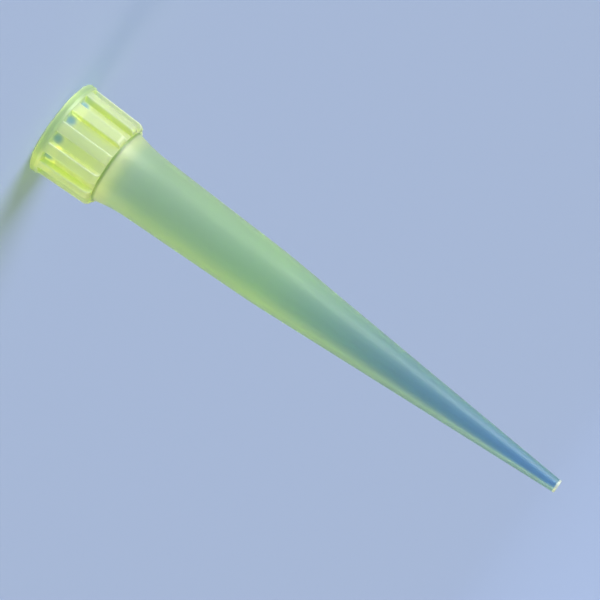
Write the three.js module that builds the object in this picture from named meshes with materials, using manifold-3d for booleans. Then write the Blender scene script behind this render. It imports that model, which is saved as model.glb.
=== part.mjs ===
// Pipette tip of the 200 microlitre class, injection moulded in one piece of
// polypropylene. It stands on its mouth: the mouth plane is z = 0, the axis is Z
// and the narrow end points up. All lengths are in millimetres.
//
// Outside, from the mouth up: a plain rim, a collar of ribs that a rack and an
// ejector bear on, a flared neck, a slightly tapered upper barrel and a steeper
// lower barrel down to the orifice. The cavity of the mould draws off over the
// narrow end, so the outside never widens on the way up, and every groove of the
// collar is closed at the rim and open at the neck. Inside is one bore: a
// lead-in, a tapered seat for the nose of the pipettor, and cones that keep the
// wall nearly even.

import * as THREE from "three";
import { mergeVertices } from "three/addons/utils/BufferGeometryUtils.js";
import Module from "manifold-3d";

// ---- driving dimensions ---------------------------------------------------

const tipLength = 48.0; // from the mouth plane to the narrow end

// rim
const rimDiameter = 8.14;
const rimHeight = 0.5; // its straight part
const rimEdgeRadius = 0.16;
const rimBevelHeight = 0.22;
const rimFootDiameter = 7.96; // where the bevel ends

// collar of ribs
const collarLength = 5.42; // from the mouth plane to the ends of the ribs
const collarDiameter = 7.9; // over the ribs, at the rim
const collarDraft = 1.7; // degrees on each side
const ribCount = 12;
const ribEndRadius = 0.55;
const ribEndTurn = 55; // degrees of that radius before the flat end of a rib
const ribEdgeRadius = 0.14;
const grooveWidth = 1.1; // between the outer edges of two ribs
const grooveWallDraft = 10; // degrees that each wall of a groove leans out
const grooveFloorDiameter = 6.76; // at the rim
const grooveRootRadius = 0.1;
const grooveRampAngle = 78; // degrees from the axis, where the rim closes each groove

// neck and barrel
const flareRadius = 13.5;
const flareEnd = 8.5; // height at which the flare runs into the upper barrel
const barrelDiameter = 5.53; // there
const bendHeight = 20.4; // where the upper and the lower barrel meet
const bendDiameter = 4.81;
const bendRadius = 50;
const endDiameter = 1.08;
const endEdgeRadius = 0.06;

// bore
const mouthDiameter = 7.0;
const leadInAngle = 23.5; // degrees on each side
const seatDiameter = 5.58; // where the lead-in ends
const seatDraft = 1.75; // degrees on each side
const seatEnd = 6.0; // height at which the seat ends
const barrelWall = 0.42; // at the end of the flare and at the bend
const orificeDiameter = 0.52;

// facets
const turnSegments = 6 * ribCount; // every rib meets the same facets
const smallArcStep = 20; // degrees between the points of an edge radius
const ribArcStep = 6; // degrees between the points on the outside of a rib
const longArcStep = 1.5; // degrees between the points of a flare or a bend

// ---- helpers --------------------------------------------------------------

const wasm = await Module();
wasm.setup();

const { degToRad, radToDeg } = THREE.MathUtils;
const point = (x, y) => new THREE.Vector2(x, y);

// Points of an arc about a centre, from one angle to another in degrees.
function arc(centre, radius, from, to, step) {
  const count = Math.max(1, Math.ceil(Math.abs(to - from) / step));
  return Array.from({ length: count + 1 }, (_, i) => {
    const angle = degToRad(from + ((to - from) * i) / count);
    return point(radius * Math.cos(angle), radius * Math.sin(angle)).add(centre);
  });
}

// Points of the arc that rounds the corner between two straight lines.
function roundCorner(before, corner, after, radius, step) {
  const back = before.clone().sub(corner).normalize();
  const ahead = after.clone().sub(corner).normalize();
  const halfAngle = back.angleTo(ahead) / 2;
  const centre = back.clone().add(ahead).setLength(radius / Math.sin(halfAngle)).add(corner);
  const reach = radius / Math.tan(halfAngle);
  const from = radToDeg(corner.clone().addScaledVector(back, reach).sub(centre).angle());
  const to = radToDeg(corner.clone().addScaledVector(ahead, reach).sub(centre).angle());
  const turn = THREE.MathUtils.euclideanModulo(to - from + 180, 360) - 180;
  return arc(centre, radius, from, from + turn, step);
}

// The solid of a closed three.js geometry, for joining and cutting.
function toSolid(geometry) {
  geometry.deleteAttribute("normal");
  geometry.deleteAttribute("uv");
  const merged = mergeVertices(geometry);
  const corners = merged.index.array;
  const triangles = [];
  for (let i = 0; i < corners.length; i += 3) {
    const [a, b, c] = corners.slice(i, i + 3);
    if (a !== b && b !== c && c !== a) triangles.push(a, b, c); // none is left flat on the axis
  }
  return new wasm.Manifold(
    new wasm.Mesh({
      numProp: 3,
      vertProperties: merged.attributes.position.array,
      triVerts: Uint32Array.from(triangles),
    }),
  );
}

function toGeometry(solid) {
  const mesh = solid.getMesh();
  const geometry = new THREE.BufferGeometry();
  geometry.setAttribute("position", new THREE.BufferAttribute(mesh.vertProperties, 3));
  geometry.setIndex(new THREE.BufferAttribute(mesh.triVerts, 1));
  geometry.computeVertexNormals();
  return geometry;
}

// The solid that an outline of (radius, height) points sweeps about Z. The
// outline runs up the outside and starts and ends on the axis.
function revolve(outline) {
  return toSolid(new THREE.LatheGeometry(outline, turnSegments).rotateX(Math.PI / 2));
}

// ---- sizes that follow ----------------------------------------------------

const ribsStart = rimHeight + rimBevelHeight;
const rimRadius = rimDiameter / 2;
const rimFootRadius = rimFootDiameter / 2;
const barrelRadius = barrelDiameter / 2;
const bendOuterRadius = bendDiameter / 2;
const draftSlope = Math.tan(degToRad(collarDraft));

// The flare is an arc that touches the upper barrel at flareEnd.
const barrelAngle = radToDeg(Math.atan2(barrelRadius - bendOuterRadius, bendHeight - flareEnd));
const flareCentre = arc(point(barrelRadius, flareEnd), flareRadius, barrelAngle, barrelAngle, 1)[0];
const flareTop = 180 + barrelAngle;
const flareFoot = 180 + radToDeg(Math.asin((flareCentre.y - collarLength) / flareRadius));
const flare = arc(flareCentre, flareRadius, flareFoot, flareTop, longArcStep);
const neckRadius = flare[0].x;

// ---- body: rim, neck and barrel, turned about the axis ---------------------

function makeBody() {
  const foot = point(0, 0);
  const rimEdge = point(rimRadius, 0);
  const rimTop = point(rimRadius, rimHeight);
  const rimFoot = point(rimFootRadius, ribsStart);
  const rampHeight = (rimFootRadius - neckRadius) / Math.tan(degToRad(grooveRampAngle));
  const bend = point(bendOuterRadius, bendHeight);
  const endEdge = point(endDiameter / 2, tipLength);
  const end = point(0, tipLength);
  return revolve([
    foot,
    ...roundCorner(foot, rimEdge, rimTop, rimEdgeRadius, smallArcStep),
    rimTop,
    rimFoot,
    point(neckRadius, ribsStart + rampHeight), // the ramp that closes each groove
    ...flare,
    ...roundCorner(flare.at(-1), bend, endEdge, bendRadius, longArcStep),
    ...roundCorner(bend, endEdge, end, endEdgeRadius, smallArcStep),
    end,
  ]);
}

// ---- collar: ribs and grooves ----------------------------------------------

const collarRadius = collarDiameter / 2;
const floorRadius = grooveFloorDiameter / 2;

// Half the outline of one groove about the X axis, from a rib's outer edge in to
// the middle of the floor, with the rib's edge and the root rounded.
function halfGroove(side) {
  const half = grooveWidth / 2;
  const floorHalf = half - (collarRadius - floorRadius) * Math.tan(degToRad(grooveWallDraft));
  const edge = point(Math.sqrt(collarRadius ** 2 - half ** 2), side * half);
  const alongRib = point(-side * edge.y, side * edge.x).normalize().add(edge);
  const root = point(floorRadius, side * floorHalf);
  const middle = point(floorRadius, 0);
  return [
    ...roundCorner(alongRib, edge, root, ribEdgeRadius, 2 * smallArcStep),
    ...roundCorner(edge, root, middle, grooveRootRadius, 2 * smallArcStep),
  ];
}

// The section across the collar: every groove, and the outside of the rib after it.
function collarSection() {
  const groove = [...halfGroove(-1), ...halfGroove(1).reverse()];
  const pitch = 360 / ribCount;
  const edgeAngle = radToDeg(groove.at(-1).angle());
  const origin = point(0, 0);
  const rib = arc(origin, collarRadius, edgeAngle, pitch - edgeAngle, ribArcStep).slice(1, -1);
  const section = [];
  for (let i = 0; i < ribCount; i += 1) {
    const turn = degToRad((i + 0.5) * pitch);
    section.push(...[...groove, ...rib].map((p) => p.clone().rotateAround(origin, turn)));
  }
  return new THREE.Shape(section);
}

// Levels up the collar, each with the radius of the ribs and of the groove floors.
// Both draw in with the draft, and the ribs' ends are rounded.
function collarLevels() {
  const level = (height, inset = 0) => {
    const drawnIn = (height - ribsStart) * draftSlope;
    return { height, rib: collarRadius - drawnIn - inset, floor: floorRadius - drawnIn };
  };
  const roundStart = collarLength - ribEndRadius * Math.sin(degToRad(ribEndTurn));
  const centre = point(-ribEndRadius, roundStart);
  const rounding = arc(centre, ribEndRadius, 0, ribEndTurn, smallArcStep);
  return [level(rimHeight / 2), ...rounding.map((p) => level(p.y, -p.x))];
}

// The section is extruded with one step for each level, and each level of points
// is then brought to its height and radii.
function makeCollar() {
  const levels = collarLevels();
  const steps = levels.length - 1;
  const geometry = new THREE.ExtrudeGeometry(collarSection(), {
    depth: steps,
    steps,
    bevelEnabled: false,
  });
  const positions = geometry.attributes.position;
  const corner = new THREE.Vector3();
  for (let i = 0; i < positions.count; i += 1) {
    corner.fromBufferAttribute(positions, i);
    const { height, rib, floor } = levels[Math.round(corner.z)];
    const radius = Math.hypot(corner.x, corner.y);
    const share = (radius - floorRadius) / (collarRadius - floorRadius);
    corner.multiplyScalar((floor + (rib - floor) * share) / radius);
    positions.setXYZ(i, corner.x, corner.y, height);
  }
  return toSolid(geometry);
}

// ---- bore -------------------------------------------------------------------

function makeBore() {
  const past = 1; // how far the cutter runs past each end
  const mouthRadius = mouthDiameter / 2;
  const seatRadius = seatDiameter / 2;
  const leadInSlope = Math.tan(degToRad(leadInAngle));
  const leadInEnd = (mouthRadius - seatRadius) / leadInSlope;
  const seatEndRadius = seatRadius - (seatEnd - leadInEnd) * Math.tan(degToRad(seatDraft));
  const bendBore = point(bendOuterRadius - barrelWall, bendHeight);
  const orifice = point(orificeDiameter / 2, tipLength);
  return revolve([
    point(0, -past),
    point(mouthRadius + past * leadInSlope, -past),
    point(seatRadius, leadInEnd),
    point(seatEndRadius, seatEnd),
    point(barrelRadius - barrelWall, flareEnd),
    bendBore,
    orifice,
    point(orifice.x, tipLength + past),
    point(0, tipLength + past),
  ]);
}

// ---- the part -----------------------------------------------------------------

const polypropylene = new THREE.MeshStandardMaterial({
  color: 0xe3e58c,
  roughness: 0.35,
  metalness: 0,
});

const tip = makeBody().add(makeCollar()).subtract(makeBore());
const pipetteTip = new THREE.Mesh(toGeometry(tip), polypropylene);
pipetteTip.name = "pipette_tip";

const group = new THREE.Group();
group.add(pipetteTip);

export default group;
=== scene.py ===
# A pipette tip of the 200 microlitre class, injection moulded in one piece of
# translucent yellow polypropylene, standing on its mouth in soft studio light.
#
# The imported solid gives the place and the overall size. The tip itself is made
# again with a finer surface: its outline is drawn from a few sizes, and a
# Geometry Nodes tree turns that outline about the axis and cuts the grooves of
# the collar into it. Everything is in metres, with Z along the axis of the tip.

import math

import bpy
from bpy.props import FloatProperty, FloatVectorProperty, IntProperty, PointerProperty
from mathutils import Matrix, Vector


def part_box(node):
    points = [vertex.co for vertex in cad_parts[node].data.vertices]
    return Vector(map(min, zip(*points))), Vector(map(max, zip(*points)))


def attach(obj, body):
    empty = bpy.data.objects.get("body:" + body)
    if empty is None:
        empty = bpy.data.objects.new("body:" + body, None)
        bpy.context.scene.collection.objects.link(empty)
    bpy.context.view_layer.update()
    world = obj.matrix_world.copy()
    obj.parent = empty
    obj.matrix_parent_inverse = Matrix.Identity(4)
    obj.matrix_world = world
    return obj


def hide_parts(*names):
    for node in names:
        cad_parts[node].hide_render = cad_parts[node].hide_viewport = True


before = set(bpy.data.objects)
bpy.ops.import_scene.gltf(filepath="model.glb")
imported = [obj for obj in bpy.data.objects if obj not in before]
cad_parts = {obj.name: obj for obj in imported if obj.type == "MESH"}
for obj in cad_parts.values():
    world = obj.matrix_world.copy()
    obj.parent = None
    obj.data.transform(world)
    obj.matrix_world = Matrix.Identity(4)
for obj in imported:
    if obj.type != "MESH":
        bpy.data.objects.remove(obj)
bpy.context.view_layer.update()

bl_info = {
    "name": "Pipette Tip",
    "version": (1, 0, 0),
    "blender": (4, 5, 0),
    "location": "3D View > Sidebar > Pipette Tip",
    "description": "Makes a moulded pipette tip with a ribbed collar, and the stage it stands on",
    "category": "Add Mesh",
}

MM = 0.001
LOW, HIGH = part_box("pipette_tip")

# how finely the outline is drawn
WIDE_FILLET = 1 * MM  # a fillet of this radius or more is a curve, and a smaller one an edge
EDGE_STEP = math.radians(14)  # turn from one point to the next round an edge
CURVE_STEP = math.radians(1.5)  # and round a curve
HOLD = 0.02 * MM  # from the end of a fillet to the point that keeps the next face flat
RAMP_ROWS = 14  # rows of points that draw the ramp of a groove
RAMP_ROW = 0.012 * MM  # from one of them to the next

FLARE_SHARE = 0.93  # how much of the way to the neck's corner the flare's radius may use
SEAM_GAP = 0.001 * MM  # points closer than this are one, where the turned surface meets itself

# the painted highlight along the edge of a rib, by distance from its sharp corner in radii of the
# edge; the faces between two edges get a faint share of it
EDGE_END = 0.84  # from here on it is not pale
EDGE_CORE = 0.5  # and within this it is palest
FACE_HIGHLIGHT = 0.22  # how pale the face between two edges is, where 1 is an edge

# the painted window of pale blue light at the rim end of a groove, by distance from its middle in
# window radii
WINDOW_END = 1.25  # from here on it doesn't show
WINDOW_CORE = 0.2  # and within this it shows in full

FLOOR_SIDES = 96
FLOOR_STEPS = 32  # rings in the part of the floor that curves up
FLOOR_HUB = 10 * MM  # radius of the one round face in the middle
FLOOR_DROP = 0.02 * MM  # so that the rim and the floor don't share a plane

# kinds of node that are used again and again
MATH = "ShaderNodeMath"
WHOLE = "FunctionNodeIntegerMath"
VECTOR = "ShaderNodeVectorMath"
COMBINE = "ShaderNodeCombineXYZ"
SEPARATE = "ShaderNodeSeparateXYZ"
MAP = "ShaderNodeMapRange"
MIX = "ShaderNodeMix"
ATTRIBUTE = "ShaderNodeAttribute"
SAMPLE = "GeometryNodeSampleIndex"
DOMAIN_SIZE = "GeometryNodeAttributeDomainSize"

# the sockets of a Mix node that blends two colours
MIX_SHARE, MIX_FROM, MIX_TO, MIX_RESULT = 0, 6, 7, 2


# ---- colours and nodes ------------------------------------------------------


def linear(hex_colour):
    """The linear values of an sRGB colour written as #rrggbb."""
    channels = [int(hex_colour[i : i + 2], 16) / 255 for i in (1, 3, 5)]
    return [c / 12.92 if c <= 0.04045 else ((c + 0.055) / 1.055) ** 2.4 for c in channels]


def add(tree, kind, *values, inputs=None, output=0, **settings):
    """Adds a node with its settings, fills or links its inputs, and returns one of its outputs.

    The values go to the node's inputs in their order, and inputs holds others by name.
    """
    node = tree.nodes.new(kind)
    for name, value in settings.items():
        setattr(node, name, value)
    for socket, value in (*enumerate(values), *(inputs or {}).items()):
        if isinstance(value, bpy.types.NodeSocket):
            tree.links.new(value, node.inputs[socket])
        else:
            node.inputs[socket].default_value = value
    return node.outputs[output] if len(node.outputs) else None


# ---- sizes ------------------------------------------------------------------


def length(name, description, millimetres):
    """A size, written in millimetres and kept in metres."""
    return FloatProperty(
        name=name,
        description=description,
        default=millimetres * MM,
        min=0,
        precision=5,
        unit="LENGTH",
    )


def angle(name, description, degrees):
    """An angle, written in degrees."""
    return FloatProperty(
        name=name, description=description, default=math.radians(degrees), subtype="ANGLE"
    )


def colour(name, description, hex_colour):
    """A colour, written as #rrggbb and kept as linear values."""
    return FloatVectorProperty(
        name=name, description=description, default=linear(hex_colour), size=3, subtype="COLOR"
    )


def share(name, description, default):
    """A part of one whole."""
    return FloatProperty(
        name=name, description=description, default=default, min=0, max=1, subtype="FACTOR"
    )


def direction(name, description, towards):
    """A direction, as a vector of any length."""
    return FloatVectorProperty(
        name=name, description=description, default=towards, size=3, subtype="DIRECTION"
    )


def number(name, description, default, least=0):
    """A plain number."""
    return FloatProperty(name=name, description=description, default=default, min=least)


def count(name, description, default, least):
    """A whole number."""
    return IntProperty(name=name, description=description, default=default, min=least)


class TipSizes(bpy.types.PropertyGroup):
    """Sizes of the moulding. Heights are measured from the mouth."""

    tip_length: length("Length", "From the mouth to the narrow end", HIGH.z / MM)
    rim_diameter: length("Rim", "Across the plain rim", (HIGH.x - LOW.x) / MM)
    rim_height: length("Rim height", "Height of the straight part of the rim", 0.5)
    rim_edge: length("Rim edge", "Radius of the rim's outer edge", 0.16)
    bevel_edge: length("Bevel edge", "Radius between the rim and the bevel above it", 0.08)
    bevel_root: length("Bevel root", "Radius between that bevel and the ribs", 0.05)
    ribs_start: length("Ribs start", "Height at which the ribs leave the rim", 0.72)
    collar_length: length("Collar", "Height of the ends of the ribs", 5.42)
    collar_diameter: length("Across ribs", "Diameter over the ribs, at the rim", 7.92)
    floor_diameter: length("Across grooves", "Diameter over the groove floors, at the rim", 6.76)
    collar_draft: angle("Collar draft", "Taper of the ribs and the floors, on each side", 1.7)
    rib_end: length("Rib end", "Radius that leads over the end of a rib", 0.47)
    rib_end_turn: angle("Rib end turn", "How far that radius turns", 55)
    rib_end_edge: length("Rib end edge", "Radius where a rib's end turns flat", 0.1)
    groove_width: length("Groove", "Width of a groove between the edges of two ribs", 1.1)
    groove_draft: angle("Groove draft", "How far each wall of a groove leans out", 10)
    groove_ramp: angle("Groove ramp", "Slope that closes a groove at the rim, from the axis", 78)
    groove_edge: length("Rib edge", "Radius along the edges of a rib", 0.14)
    groove_root: length("Groove root", "Radius along the foot of a rib", 0.12)
    fillet_steps: count("Fillet steps", "Points in each of those two radii", 5, 1)
    neck_diameter: length("Neck", "Across the neck, where the ribs end", 6.434)
    neck_root: length("Neck root", "Radius in the corner between a rib's end and the neck", 0.1)
    flare_end: length("Flare end", "Height at which the neck runs into the barrel", 8.5)
    barrel_diameter: length("Barrel", "Across the barrel at that height", 5.53)
    bend_height: length("Bend height", "Height at which the barrel turns steeper", 20.4)
    bend_diameter: length("Bend", "Across the barrel at the bend", 4.81)
    bend_radius: length("Bend radius", "Radius of the bend in the barrel", 50)
    end_diameter: length("End", "Across the narrow end", 1.08)
    end_edge: length("End edge", "Radius of the edges of the narrow end", 0.05)
    mouth_diameter: length("Mouth", "Across the bore at the mouth", 7.0)
    mouth_edge: length("Mouth edge", "Radius of the edge between the mouth and the rim", 0.12)
    seat_height: length("Seat height", "Height at which the lead-in meets the seat", 1.63)
    seat_diameter: length("Seat", "Across the seat for the pipettor, at that height", 5.58)
    seat_edge: length("Seat edge", "Radius between the lead-in and the seat", 0.3)
    seat_end: length("Seat end", "Height at which the seat ends", 6.0)
    seat_draft: angle("Seat draft", "Taper of the seat, on each side", 1.75)
    bore_bend: length("Bore bend", "Radius of the bends in the bore above the seat", 8)
    barrel_wall: length("Wall", "Wall of the barrel, at the flare and at the bend", 0.42)
    orifice_diameter: length("Orifice", "Across the bore at the narrow end", 0.52)
    rib_count: count("Ribs", "Ribs around the collar", 12, 3)


class PlasticSettings(bpy.types.PropertyGroup):
    """What the polypropylene does to light, from the thick collar to the thin narrow end."""

    # some of these colours are painted light and shade, not the plastic's own: the blue from the neck
    # to the narrow end, the windows, the pale edges and the dark band at the ledge
    dye: colour("Dye", "Colour that passes deepest through the plastic", "#fcff4c")
    dye_density: number("Dye density", "Absorption of the dye, for each metre", 1200)
    rim_tint: colour("Rim tint", "Colour of the milk in the rim", "#cde0e8")
    rim_fade: length("Rim fade", "Height in which the rim's colour turns into the collar's", 0.5)
    collar_tint: colour("Collar tint", "Colour of the milk in the collar", "#f4f9fd")
    # painted shade: a dark band at the foot of the ledge, where shade falls in the crease
    root_painted_shade: colour("Root tint", "Colour of the milk at the foot of the ledge", "#8aa786")
    root_start: length("Root start", "Height above the ledge at which that colour starts", 0.04)
    root_end: length("Root end", "Height above the ledge at which it ends", 0.12)
    root_fade: length("Root fade", "Height above the ledge at which it has faded", 0.3)
    # from the neck to the narrow end: the milk's colour with painted blue, as if the light of a blue
    # bench showed through the thin wall
    neck_milk_and_painted_blue: colour("Neck tint", "Colour of the milk in the neck", "#cde2ee")
    bend_milk_and_painted_blue: colour("Bend tint", "Colour of the milk at the bend of the barrel", "#c7e3e8")
    barrel_milk_and_painted_blue: colour("Barrel tint", "Colour of the milk in the upper barrel", "#a3c8f4")
    barrel_reach: share("Barrel reach", "Share of the length at which it has that colour", 0.7)
    end_milk_and_painted_blue: colour("End tint", "Colour of the milk at the narrow end", "#94c0ff")
    end_reach: share("End reach", "Share of the length at which it has that colour", 0.92)
    # painted highlights along the edges of the ribs, paler and milkier there
    edge_painted_highlight: colour("Edge tint", "Colour of the milk along the edges", "#f2f8f8")
    edge_highlight_share: share("Edge milk", "Share of light that the edges scatter", 0.5)
    # the same painted highlight, in a band at the mouth and at the narrow end
    mouth_highlight_height: length("Pale mouth", "Height of the pale edge of the mouth", 0.16)
    mouth_highlight_core: length("Full mouth", "Height up to which that edge is palest", 0.08)
    end_highlight_height: length("Pale end", "Height of the pale edge of the narrow end", 0.22)
    end_highlight_core: length("Full end", "Height of the palest part of that edge", 0.176)
    # painted light: a pale blue patch at the end of each groove, as if light inside the mouth showed
    # through a thin wall
    window_painted_light: colour("Window tint", "Colour of the thin wall at the end of a groove", "#86b4ea")
    window_painted_share: share("Window milk", "Share of light that the thin wall scatters", 0.55)
    window_height: length("Window height", "Height of the middle of the thin wall", 1.08)
    window_radius: length("Window radius", "How far the thin wall reaches up and down", 0.55)
    collar_milk: share("Collar milk", "Share of light that the collar scatters", 0.25)
    barrel_milk: share("Barrel milk", "Share of light that the barrel scatters", 0.2)
    clear_height: length("Clear height", "Height at which the neck is as clear as the barrel", 7.0)
    roughness: share("Roughness", "Roughness of the satin surface", 0.32)
    roughness_play: share("Roughness play", "How far the roughness strays on each side", 0.02)
    ripple_size: length("Ripple size", "Width of the ripples that the melt leaves", 0.5)
    ripple_run: number("Ripple run", "How much longer than wide the ripples are", 14, 1)
    ripple_depth: length("Ripple depth", "Depth of those ripples", 0.003)
    shadow_tint: colour("Shadow tint", "Colour of the light that gets past the tip", "#dadfd2")


class StageSettings(bpy.types.PropertyGroup):
    """The floor, the light and the place of the camera."""

    floor_colour: colour("Floor", "Colour of the floor", "#a8bce4")
    floor_flat: length("Floor flat", "Radius of the flat part of the floor", 1500)
    floor_bend: length("Floor bend", "Radius with which the floor curves up outside it", 1000)
    floor_sweep: angle("Floor sweep", "How far it curves up", 42)
    key_strength: number("Key", "Strength of the key light", 3.3)
    key_side: direction("Key side", "Where the key light comes from", (-0.9, -0.45, 0.55))
    key_spread: angle("Key spread", "How wide the key light is", 50)
    key_colour: colour("Key colour", "Colour of the key light", "#ffffff")
    fill_strength: number("Fill", "Strength of the fill light", 0.1)
    fill_side: direction("Fill side", "Where the fill light comes from", (0.8, -0.9, 0.5))
    fill_spread: angle("Fill spread", "How wide the fill light is", 80)
    fill_colour: colour("Fill colour", "Colour of the fill light", "#ffffff")
    back_strength: number("Back", "Strength of the back light", 2.9)
    back_side: direction("Back side", "Where the back light comes from", (1, 0.15, 0.15))
    back_spread: angle("Back spread", "How wide the back light is", 60)
    back_colour: colour("Back colour", "Colour of the back light", "#fff0b4")
    sky_strength: number("Sky", "Strength of the light from all round", 0.28)
    sky_colour: colour("Sky colour", "Colour of the light from all round", "#ffffff")
    aim_height: length("Aim height", "Height on the axis that the camera looks at", 23.378)
    distance: length("Distance", "From the camera to that point", 257)
    tilt: angle("Tilt", "How far the camera looks down", 7)
    roll: angle("Roll", "Turn of the camera about its line of sight", 125.96)
    lens: number("Lens", "Focal length in millimetres", 198.6)


# ---- outline ----------------------------------------------------------------


def rounded(corners):
    """The points of a closed outline at each of its named corners of (place, fillet radius).

    A fillet has a point for every step of its turn, and one more stands at a short
    distance from each of its ends, so that flat faces stay flat when shaded. On a
    short line between two fillets these points move closer to the ends.
    """
    places, fillets = zip(*corners.values())
    total = len(corners)
    spans = [places[(i + 1) % total] - places[i] for i in range(total)]
    turns = [spans[i - 1].angle(spans[i]) for i in range(total)]
    reaches = [fillets[i] * math.tan(turns[i] / 2) for i in range(total)]
    holds = [
        min(HOLD, (spans[i].length - reaches[i] - reaches[(i + 1) % total]) / 3)
        for i in range(total)
    ]
    points = {}
    for i, name in enumerate(corners):
        back = -spans[i - 1].normalized()
        ahead = spans[i].normalized()
        centre = places[i] + (back + ahead).normalized() * fillets[i] / math.cos(turns[i] / 2)
        start = places[i] + back * reaches[i] - centre
        turn = -math.copysign(turns[i], back.cross(ahead))
        steps = max(1, math.ceil(turns[i] / (EDGE_STEP if fillets[i] < WIDE_FILLET else CURVE_STEP)))
        arc = [centre + Matrix.Rotation(turn * k / steps, 2) @ start for k in range(steps + 1)]
        before = centre + start + back * holds[i - 1]
        after = places[i] + ahead * (reaches[i] + holds[i])
        points[name] = [before, *arc, after]
    return points


def touching_corner(start, end, towards):
    """Where the tangents meet of an arc that leaves start and joins the line through end."""
    chord = end - start
    return end - towards * chord.length_squared / (2 * towards.dot(chord))


def at(diameter, height):
    """The place on the outline that has this diameter and height."""
    return Vector((diameter / 2, height))


def tip_outline(sizes):
    """The closed outline of the wall: up the outside over the ribs, and down the bore."""
    rib_start = at(sizes.collar_diameter, sizes.ribs_start)
    rib_line = Vector((-math.tan(sizes.collar_draft), 1))
    # the radius over a rib's end leads into a short slope, and that into the flat end
    slope = (Matrix.Rotation(sizes.rib_end_turn, 2) @ rib_line).normalized()
    slope *= sizes.rib_end * math.tan(sizes.rib_end_turn / 2) + sizes.rib_end_edge
    shoulder = rib_start + rib_line * (sizes.collar_length - sizes.ribs_start - slope.y)
    neck = at(sizes.neck_diameter, sizes.collar_length)
    flare_end = at(sizes.barrel_diameter, sizes.flare_end)
    bend = at(sizes.bend_diameter, sizes.bend_height)
    flare = touching_corner(neck, flare_end, (bend - flare_end).normalized())
    flare_turn = (flare - neck).angle(bend - flare)
    flare_radius = FLARE_SHARE * (flare - neck).length / math.tan(flare_turn / 2)
    seat = at(sizes.seat_diameter, sizes.seat_height)
    seat_line = Vector((-math.tan(sizes.seat_draft), 1))
    seat_end = seat + seat_line * (sizes.seat_end - sizes.seat_height)
    wall = Vector((sizes.barrel_wall, 0))
    corners = {
        "mouth": (at(sizes.mouth_diameter, 0), sizes.mouth_edge),
        "rim": (at(sizes.rim_diameter, 0), sizes.rim_edge),
        "bevel": (at(sizes.rim_diameter, sizes.rim_height), sizes.bevel_edge),
        "rib start": (rib_start, sizes.bevel_root),
        "shoulder": (shoulder, sizes.rib_end),
        "rib end": (shoulder + slope, sizes.rib_end_edge),
        "neck": (neck, sizes.neck_root),
        "flare": (flare, flare_radius),
        "bend": (bend, sizes.bend_radius),
        "narrow end": (at(sizes.end_diameter, sizes.tip_length), sizes.end_edge),
        "orifice": (at(sizes.orifice_diameter, sizes.tip_length), sizes.end_edge),
        "bore at the bend": (bend - wall, sizes.bend_radius),
        "bore at the flare": (flare_end - wall, sizes.bore_bend),
        "seat end": (seat_end, sizes.bore_bend),
        "seat": (seat, sizes.seat_edge),
    }
    points = rounded(corners)
    last = points["rib start"][-1]
    points["rib start"] += [last + rib_line * (RAMP_ROW * k) for k in range(1, RAMP_ROWS + 1)]
    return [point for corner in points.values() for point in corner]


# ---- the tree that turns the outline and cuts the grooves ---------------------

TREE_INPUTS = {
    "Ribs": "NodeSocketInt",
    "Rib radius": "NodeSocketFloat",
    "Floor radius": "NodeSocketFloat",
    "Ribs start": "NodeSocketFloat",
    "Collar slope": "NodeSocketFloat",
    "Ramp slope": "NodeSocketFloat",
    "Groove width": "NodeSocketFloat",
    "Groove slope": "NodeSocketFloat",
    "Rib edge": "NodeSocketFloat",
    "Groove root": "NodeSocketFloat",
    "Fillet steps": "NodeSocketInt",
    "Material": "NodeSocketMaterial",
}


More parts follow.
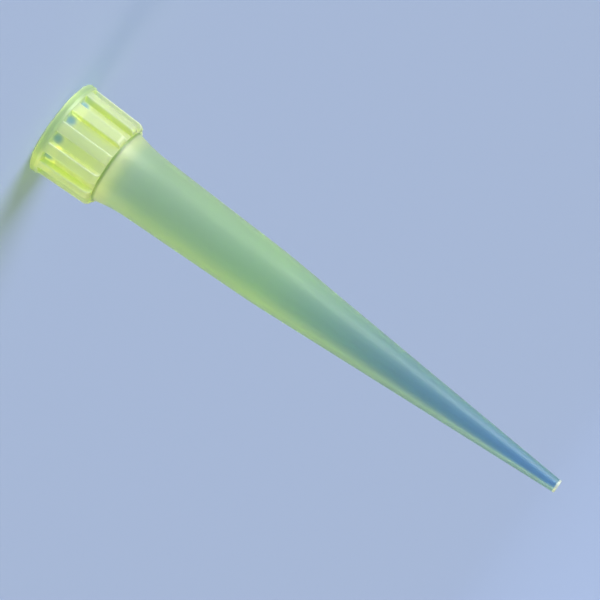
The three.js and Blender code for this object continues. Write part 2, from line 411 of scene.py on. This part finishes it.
def ribbed_turning():
    """A node group: turns an outline about Z and sinks one groove between each two ribs.

    The surface is a grid, with a row for each point of the outline and the same
    columns in every pitch. The columns lie on half a groove and half a rib, drawn
    flat and mirrored about the middle of the groove.
    """
    tree = bpy.data.node_groups.new("Ribbed turning", "GeometryNodeTree")
    tree.interface.new_socket("Outline", in_out="INPUT", socket_type="NodeSocketGeometry")
    for name, kind in TREE_INPUTS.items():
        tree.interface.new_socket(name, in_out="INPUT", socket_type=kind)
    tree.interface.new_socket("Moulding", in_out="OUTPUT", socket_type="NodeSocketGeometry")
    given = add(tree, "NodeGroupInput").node.outputs

    # the section: half a groove and half a rib, with X along the surface and Y up from the floor
    pitch = add(tree, MATH, math.tau, given["Ribs"], operation="DIVIDE")
    depth = add(tree, MATH, given["Rib radius"], given["Floor radius"], operation="SUBTRACT")
    edge_x = add(tree, MATH, given["Groove width"], 0.5, operation="MULTIPLY")
    wall_x = add(tree, MATH, depth, given["Groove slope"], operation="MULTIPLY")
    root_x = add(tree, MATH, edge_x, wall_x, operation="SUBTRACT")
    half_turn = add(tree, MATH, pitch, 0.5, operation="MULTIPLY")
    middle_x = add(tree, MATH, half_turn, given["Rib radius"], operation="MULTIPLY")
    root = add(tree, COMBINE, root_x)
    edge = add(tree, COMBINE, edge_x, depth)
    middle = add(tree, COMBINE, middle_x, depth)
    section = add(
        tree,
        "GeometryNodeCurvePrimitiveQuadrilateral",
        inputs={"Point 1": (0, 0, 0), "Point 2": root, "Point 3": edge, "Point 4": middle},
        mode="POINTS",
    )
    section = add(tree, "GeometryNodeSetSplineCyclic", inputs={"Geometry": section, "Cyclic": False})

    # its fillets: point 1 is the root of the groove, and point 2 the edge of the rib
    index = add(tree, "GeometryNodeInputIndex")
    at_root = add(tree, MATH, index, 1, 0.5, operation="COMPARE")
    wider = add(tree, MATH, given["Groove root"], given["Rib edge"], operation="SUBTRACT")
    fillet = add(tree, MATH, at_root, wider, given["Rib edge"], operation="MULTIPLY_ADD")
    section = add(
        tree,
        "GeometryNodeFilletCurve",
        inputs={
            "Curve": section,
            "Count": given["Fillet steps"],
            "Radius": fillet,
            "Limit Radius": True,
        },
        mode="POLY",
    )

    # the grid
    section_points = add(tree, DOMAIN_SIZE, section, output="Point Count", component="CURVE")
    outline_points = add(
        tree, DOMAIN_SIZE, given["Outline"], output="Point Count", component="MESH"
    )
    half_pitch = add(tree, WHOLE, section_points, 1, operation="SUBTRACT")
    in_pitch = add(tree, WHOLE, half_pitch, 2, operation="MULTIPLY")
    columns = add(tree, WHOLE, in_pitch, given["Ribs"], 1, operation="MULTIPLY_ADD")
    rows = add(tree, WHOLE, outline_points, 1, operation="ADD")
    moulding = add(tree, "GeometryNodeMeshGrid", inputs={"Vertices X": rows, "Vertices Y": columns})
    row = add(tree, WHOLE, index, columns, operation="DIVIDE_FLOOR")
    column = add(tree, WHOLE, index, columns, operation="MODULO")

    # the place of a column on the section, counted to both sides from the middle of the groove
    pitch_number = add(tree, WHOLE, column, in_pitch, operation="DIVIDE_FLOOR")
    pitch_column = add(tree, WHOLE, column, in_pitch, operation="MODULO")
    offset = add(tree, WHOLE, pitch_column, half_pitch, operation="SUBTRACT")
    section_point = add(tree, WHOLE, offset, operation="ABSOLUTE")
    position = add(tree, "GeometryNodeInputPosition")
    on_section = add(
        tree,
        SAMPLE,
        inputs={"Geometry": section, "Value": position, "Index": section_point},
        data_type="FLOAT_VECTOR",
    )
    along, up, _ = add(tree, SEPARATE, on_section).node.outputs

    # its turn about the axis, and its share of the groove's depth
    side = add(tree, MATH, offset, operation="SIGN")
    section_radius = add(tree, MATH, given["Floor radius"], up, operation="ADD")
    from_middle = add(tree, MATH, along, section_radius, operation="DIVIDE")
    to_side = add(tree, MATH, side, from_middle, operation="MULTIPLY")
    groove_number = add(tree, MATH, pitch_number, 0.5, operation="ADD")
    turn = add(tree, MATH, groove_number, pitch, to_side, operation="MULTIPLY_ADD")
    height_share = add(tree, MATH, up, depth, operation="DIVIDE")
    depth_share = add(tree, MATH, 1, height_share, operation="SUBTRACT")

    # the radius and height of a row, and how deep a groove is sunk there
    outline_point = add(tree, WHOLE, row, outline_points, operation="MODULO")
    on_outline = add(
        tree,
        SAMPLE,
        inputs={"Geometry": given["Outline"], "Value": position, "Index": outline_point},
        data_type="FLOAT_VECTOR",
    )
    row_radius, _, row_height = add(tree, SEPARATE, on_outline).node.outputs
    below = add(tree, MATH, given["Ribs start"], row_height, operation="SUBTRACT")
    floor_line = add(
        tree, MATH, below, given["Collar slope"], given["Floor radius"], operation="MULTIPLY_ADD"
    )
    ramp_line = add(
        tree, MATH, below, given["Ramp slope"], given["Rib radius"], operation="MULTIPLY_ADD"
    )
    floor = add(tree, MATH, floor_line, ramp_line, given["Groove root"], operation="SMOOTH_MAX")
    over_floor = add(tree, MATH, row_radius, floor, operation="SUBTRACT")
    sunk = add(tree, MATH, over_floor, 0, operation="MAXIMUM")

    # the place of each point of the grid
    sinking = add(tree, MATH, sunk, depth_share, operation="MULTIPLY")
    radius = add(tree, MATH, row_radius, sinking, operation="SUBTRACT")
    cosine = add(tree, MATH, turn, operation="COSINE")
    sine = add(tree, MATH, turn, operation="SINE")
    x = add(tree, MATH, radius, cosine, operation="MULTIPLY")
    y = add(tree, MATH, radius, sine, operation="MULTIPLY")
    place = add(tree, COMBINE, x, y, row_height)

    # how much painted highlight each point gets, along the edges of the ribs and faintly on
    # their faces, and how far it lies beside the middle of a groove, or out of the part in
    # which the groove has its full depth
    from_corner = add(tree, VECTOR, on_section, edge, output="Value", operation="DISTANCE")
    in_radii = add(tree, MATH, from_corner, given["Rib edge"], operation="DIVIDE")
    edge_glint = add(
        tree, MAP, inputs={"Value": in_radii, "From Min": EDGE_END, "From Max": EDGE_CORE}
    )
    face_glint = add(tree, MATH, height_share, FACE_HIGHLIGHT, operation="MULTIPLY")
    rib_glint = add(tree, MATH, edge_glint, face_glint, operation="MAXIMUM")
    sunk_share = add(tree, MATH, sunk, depth, operation="DIVIDE")
    across = add(tree, MATH, along, edge_x, operation="DIVIDE")
    shallow = add(tree, MATH, 1, sunk_share, operation="SUBTRACT")
    # the painted highlight of the ribs is kept as an attribute for the material
    for name, value in (
        ("rib_edge_highlight", add(tree, MATH, rib_glint, sunk_share, operation="MULTIPLY")),
        ("off_groove", add(tree, MATH, across, shallow, operation="ADD")),
    ):
        moulding = add(
            tree,
            "GeometryNodeStoreNamedAttribute",
            inputs={"Geometry": moulding, "Name": name, "Value": value},
        )

    # the grid takes its form, and is sewn up where it meets itself
    moulding = add(tree, "GeometryNodeSetPosition", inputs={"Geometry": moulding, "Position": place})
    moulding = add(
        tree, "GeometryNodeMergeByDistance", inputs={"Geometry": moulding, "Distance": SEAM_GAP}
    )
    moulding = add(tree, "GeometryNodeFlipFaces", moulding)
    moulding = add(tree, "GeometryNodeSetShadeSmooth", moulding)
    moulding = add(tree, "GeometryNodeRealizeInstances", moulding)
    moulding = add(
        tree,
        "GeometryNodeSetMaterial",
        inputs={"Geometry": moulding, "Material": given["Material"]},
    )
    add(tree, "NodeGroupOutput", moulding)
    return tree


# ---- material ------------------------------------------------------------------


def moulded_polypropylene(plastic, sizes):
    """Translucent polypropylene with a yellow dye, injection moulded against a satin tool.

    Fine crystals in the plastic scatter part of the light, which makes it milky:
    a little more in the thick collar than in the barrel. The rest passes through.
    Some colours are painted light and shade. The pale edges of the ribs, the mouth and
    the narrow end are painted highlights. From the neck to the narrow end the milk is
    painted blue, as if a blue bench showed through the thin wall, and so are the round
    windows at the ends of the grooves. A dark band at the foot of the ledge is painted
    shade. The dye shows most where light has gone far through the plastic, such as
    along the sides of the barrel. The surface has a soft sheen, with the faint ripple
    of the melt that ran along it.
    """
    material = bpy.data.materials.new("moulded polypropylene")
    material.use_nodes = True
    tree = material.node_tree
    tree.nodes.clear()
    place = add(tree, "ShaderNodeTexCoord", output="Object")
    height = add(tree, SEPARATE, place, output="Z")

    # the colour of the milk, blended from each height to the next: bluish at the rim,
    # the plastic's own pale colour in the collar, a dark band of painted shade at the foot
    # of the ledge, and from the neck to the narrow end a painted blue, as if the light of a
    # blue bench showed through the thin wall
    tint = (*plastic.rim_tint, 1)
    reach = sizes.rim_height
    for next_tint, next_reach in (
        (plastic.collar_tint, sizes.rim_height + plastic.rim_fade),
        (plastic.collar_tint, sizes.collar_length),
        # a dark band of painted shade at the foot of the ledge
        (plastic.root_painted_shade, sizes.collar_length + plastic.root_start),
        (plastic.root_painted_shade, sizes.collar_length + plastic.root_end),
        (plastic.collar_tint, sizes.collar_length + plastic.root_fade),
        # from here to the narrow end the milk turns to a painted blue
        (plastic.neck_milk_and_painted_blue, plastic.clear_height),
        (plastic.bend_milk_and_painted_blue, sizes.bend_height),
        (plastic.barrel_milk_and_painted_blue, sizes.tip_length * plastic.barrel_reach),
        (plastic.end_milk_and_painted_blue, sizes.tip_length * plastic.end_reach),
    ):
        blend = add(tree, MAP, inputs={"Value": height, "From Min": reach, "From Max": next_reach})
        tint = add(
            tree,
            MIX,
            inputs={MIX_SHARE: blend, MIX_FROM: tint, MIX_TO: (*next_tint, 1)},
            output=MIX_RESULT,
            data_type="RGBA",
        )
        reach = next_reach
    clear = add(
        tree,
        MAP,
        inputs={
            "Value": height,
            "From Min": sizes.collar_length,
            "From Max": plastic.clear_height,
            "To Min": 1 - plastic.collar_milk,
            "To Max": 1 - plastic.barrel_milk,
        },
        interpolation_type="SMOOTHSTEP",
    )

    # painted highlights: the edges of the ribs, of the mouth and of the narrow end are paler, as if
    # they caught the light
    pale = add(tree, ATTRIBUTE, output="Fac", attribute_name="rib_edge_highlight")
    # the mouth and the narrow end get the same painted highlight, in a band by height
    for start, full in (
        (plastic.mouth_highlight_height, plastic.mouth_highlight_core),
        (sizes.tip_length - plastic.end_highlight_height, sizes.tip_length - plastic.end_highlight_core),
    ):
        band = add(tree, MAP, inputs={"Value": height, "From Min": start, "From Max": full})
        pale = add(tree, MATH, pale, band, operation="MAXIMUM")

    # a round window at the rim end of each groove, where the lead-in makes the wall thin:
    # painted light, pale blue as the light inside the mouth seen through the wall
    off_groove = add(tree, ATTRIBUTE, output="Fac", attribute_name="off_groove")
    off_height = add(
        tree,
        MAP,
        inputs={
            "Value": height,
            "From Min": plastic.window_height,
            "From Max": plastic.window_height + plastic.window_radius,
        },
        clamp=False,
    )
    off_middle = add(tree, COMBINE, off_groove, off_height)
    from_middle = add(tree, VECTOR, off_middle, output="Value", operation="LENGTH")
    thin = add(
        tree,
        MAP,
        inputs={"Value": from_middle, "From Min": WINDOW_END, "From Max": WINDOW_CORE},
        interpolation_type="SMOOTHSTEP",
    )

    # the painted highlights and the painted windows, each in its own colour and share of milk
    for amount, own_tint, own_milk in (
        (pale, plastic.edge_painted_highlight, plastic.edge_highlight_share),
        (thin, plastic.window_painted_light, plastic.window_painted_share),
    ):
        tint = add(
            tree,
            MIX,
            inputs={MIX_SHARE: amount, MIX_FROM: tint, MIX_TO: (*own_tint, 1)},
            output=MIX_RESULT,
            data_type="RGBA",
        )
        clear = add(tree, MAP, inputs={"Value": amount, "To Min": clear, "To Max": 1 - own_milk})

    # the ripple of the melt, drawn out along the axis
    stretch = (1, 1, 1 / plastic.ripple_run)
    streaks = add(tree, "ShaderNodeMapping", inputs={"Vector": place, "Scale": stretch})
    ripple = add(
        tree,
        "ShaderNodeTexNoise",
        inputs={"Vector": streaks, "Scale": 1 / plastic.ripple_size, "Detail": 1},
        output="Fac",
    )
    satin = add(
        tree,
        MAP,
        inputs={
            "Value": ripple,
            "To Min": plastic.roughness - plastic.roughness_play,
            "To Max": plastic.roughness + plastic.roughness_play,
        },
    )
    waves = add(
        tree,
        "ShaderNodeBump",
        inputs={"Height": ripple, "Strength": 1, "Distance": plastic.ripple_depth},
    )
    surface = add(
        tree,
        "ShaderNodeBsdfPrincipled",
        inputs={
            "Base Color": tint,
            "Roughness": satin,
            "IOR": 1.49,
            "Transmission Weight": clear,
            "Normal": waves,
        },
    )

    # lamp light goes on through the plastic, so that its shadow is as soft as it is in daylight
    in_shadow = add(tree, "ShaderNodeLightPath", output="Is Shadow Ray")
    through = add(tree, "ShaderNodeBsdfTransparent", (*plastic.shadow_tint, 1))
    surface = add(tree, "ShaderNodeMixShader", in_shadow, surface, through)
    dye = add(
        tree,
        "ShaderNodeVolumeAbsorption",
        inputs={"Color": (*plastic.dye, 1), "Density": plastic.dye_density},
    )
    add(tree, "ShaderNodeOutputMaterial", surface, dye)
    return material


def matt_board(stage):
    """The floor: board with a matt coat, even and pale."""
    material = bpy.data.materials.new("matt board")
    material.use_nodes = True
    tree = material.node_tree
    tree.nodes.clear()
    board = add(
        tree,
        "ShaderNodeBsdfPrincipled",
        inputs={"Base Color": (*stage.floor_colour, 1), "Roughness": 0.9, "Specular IOR Level": 0.2},
    )
    add(tree, "ShaderNodeOutputMaterial", board)
    return material


# ---- pieces ---------------------------------------------------------------------


def new_object(name, data):
    """A new object in the scene."""
    piece = bpy.data.objects.new(name, data)
    bpy.context.scene.collection.objects.link(piece)
    return piece


class TIP_OT_moulding(bpy.types.Operator):
    """Makes the tip in one piece from its outline"""

    bl_idname = "tip.moulding"
    bl_label = "Pipette tip"

    def execute(self, context):
        sizes = context.scene.tip_sizes
        outline = bpy.data.meshes.new("tip outline")
        outline.from_pydata([(p.x, 0, p.y) for p in tip_outline(sizes)], [], [])
        piece = new_object("moulded_tip", outline)
        turning = piece.modifiers.new("Ribbed turning", "NODES")
        turning.node_group = ribbed_turning()
        values = {
            "Ribs": sizes.rib_count,
            "Rib radius": sizes.collar_diameter / 2,
            "Floor radius": sizes.floor_diameter / 2,
            "Ribs start": sizes.ribs_start,
            "Collar slope": math.tan(sizes.collar_draft),
            "Ramp slope": math.tan(sizes.groove_ramp),
            "Groove width": sizes.groove_width,
            "Groove slope": math.tan(sizes.groove_draft),
            "Rib edge": sizes.groove_edge,
            "Groove root": sizes.groove_root,
            "Fillet steps": sizes.fillet_steps,
            "Material": moulded_polypropylene(context.scene.plastic, sizes),
        }
        for socket in turning.node_group.interface.items_tree:
            if socket.name in values:
                turning[socket.identifier] = values[socket.name]
        graph = context.evaluated_depsgraph_get()
        mesh = bpy.data.meshes.new_from_object(piece.evaluated_get(graph), depsgraph=graph)
        piece.modifiers.clear()
        piece.data = mesh
        mesh.name = "moulded_tip"
        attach(piece, "root")
        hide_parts("pipette_tip")
        return {"FINISHED"}


def dished_floor(stage):
    """The floor's mesh: flat, and curved up all round, so that no edge of it shows."""
    profile = [(FLOOR_HUB, 0)]
    for k in range(FLOOR_STEPS + 1):
        turn = stage.floor_sweep * k / FLOOR_STEPS
        radius = stage.floor_flat + stage.floor_bend * math.sin(turn)
        profile.append((radius, stage.floor_bend * (1 - math.cos(turn))))
    around = [math.tau * k / FLOOR_SIDES for k in range(FLOOR_SIDES)]
    points = [
        (radius * math.cos(turn), radius * math.sin(turn), height - FLOOR_DROP)
        for radius, height in profile
        for turn in around
    ]
    faces = [tuple(range(FLOOR_SIDES))]
    for ring in range(len(profile) - 1):
        for k in range(FLOOR_SIDES):
            a = ring * FLOOR_SIDES + k
            b = ring * FLOOR_SIDES + (k + 1) % FLOOR_SIDES
            faces.append((a, a + FLOOR_SIDES, b + FLOOR_SIDES, b))
    mesh = bpy.data.meshes.new("floor")
    mesh.from_pydata(points, [], faces)
    mesh.shade_smooth()
    return mesh


class TIP_OT_stage(bpy.types.Operator):
    """Lays the floor, and places the lights and the camera"""

    bl_idname = "tip.stage"
    bl_label = "Stage"

    def execute(self, context):
        scene = context.scene
        stage = scene.stage
        floor = new_object("floor", dished_floor(stage))
        floor.data.materials.append(matt_board(stage))

        for name, side, strength, spread, tone in (
            ("key light", stage.key_side, stage.key_strength, stage.key_spread, stage.key_colour),
            ("fill light", stage.fill_side, stage.fill_strength, stage.fill_spread, stage.fill_colour),
            ("back light", stage.back_side, stage.back_strength, stage.back_spread, stage.back_colour),
        ):
            light = bpy.data.lights.new(name, "SUN")
            light.energy = strength
            light.angle = spread
            light.color = tone
            sun = new_object(name, light)
            sun.rotation_euler = Vector(side).to_track_quat("Z", "Y").to_euler()
            # the back light only glows through the plastic, and isn't mirrored in its surface
            sun.visible_glossy = name != "back light"
        world = bpy.data.worlds.new("studio")
        world.use_nodes = True
        background = world.node_tree.nodes["Background"]
        background.inputs["Color"].default_value = (*stage.sky_colour, 1)
        background.inputs["Strength"].default_value = stage.sky_strength
        scene.world = world

        lens = bpy.data.cameras.new("camera")
        lens.sensor_width = 36
        lens.lens = stage.lens
        lens.clip_start = 0.01
        lens.clip_end = 100
        camera = new_object("camera", lens)
        level = Matrix.Rotation(math.pi / 2 - stage.tilt, 4, "X")
        back = level @ Vector((0, 0, stage.distance))
        aim = Vector((0, 0, stage.aim_height))
        roll = Matrix.Rotation(stage.roll, 4, "Z")
        camera.matrix_world = Matrix.Translation(aim + back) @ level @ roll
        scene.camera = camera
        scene.view_settings.view_transform = "Standard"
        # enough bounces for light that crosses several walls of the tip
        scene.cycles.transmission_bounces = 16
        scene.cycles.volume_bounces = 12
        scene.cycles.max_bounces = 24
        return {"FINISHED"}


class TIP_PT_panel(bpy.types.Panel):
    """Lists the steps that make the scene"""

    bl_idname = "TIP_PT_panel"
    bl_label = "Pipette Tip"
    bl_space_type = "VIEW_3D"
    bl_region_type = "UI"
    bl_category = "Pipette Tip"

    def draw(self, context):
        scene = context.scene
        for operator, settings in (
            (TIP_OT_moulding, (scene.tip_sizes, scene.plastic)),
            (TIP_OT_stage, (scene.stage,)),
        ):
            box = self.layout.box()
            for group in settings:
                for name in group.__annotations__:
                    box.prop(group, name)
            box.operator(operator.bl_idname)


CLASSES = (TipSizes, PlasticSettings, StageSettings, TIP_OT_moulding, TIP_OT_stage, TIP_PT_panel)
SETTINGS = {"tip_sizes": TipSizes, "plastic": PlasticSettings, "stage": StageSettings}


def register():
    for cls in CLASSES:
        bpy.utils.register_class(cls)
    for name, group in SETTINGS.items():
        setattr(bpy.types.Scene, name, PointerProperty(type=group))


def unregister():
    for name in SETTINGS:
        delattr(bpy.types.Scene, name)
    for cls in reversed(CLASSES):
        bpy.utils.unregister_class(cls)


def main():
    register()
    bpy.ops.tip.moulding()
    bpy.ops.tip.stage()


if __name__ == "__main__":
    main()
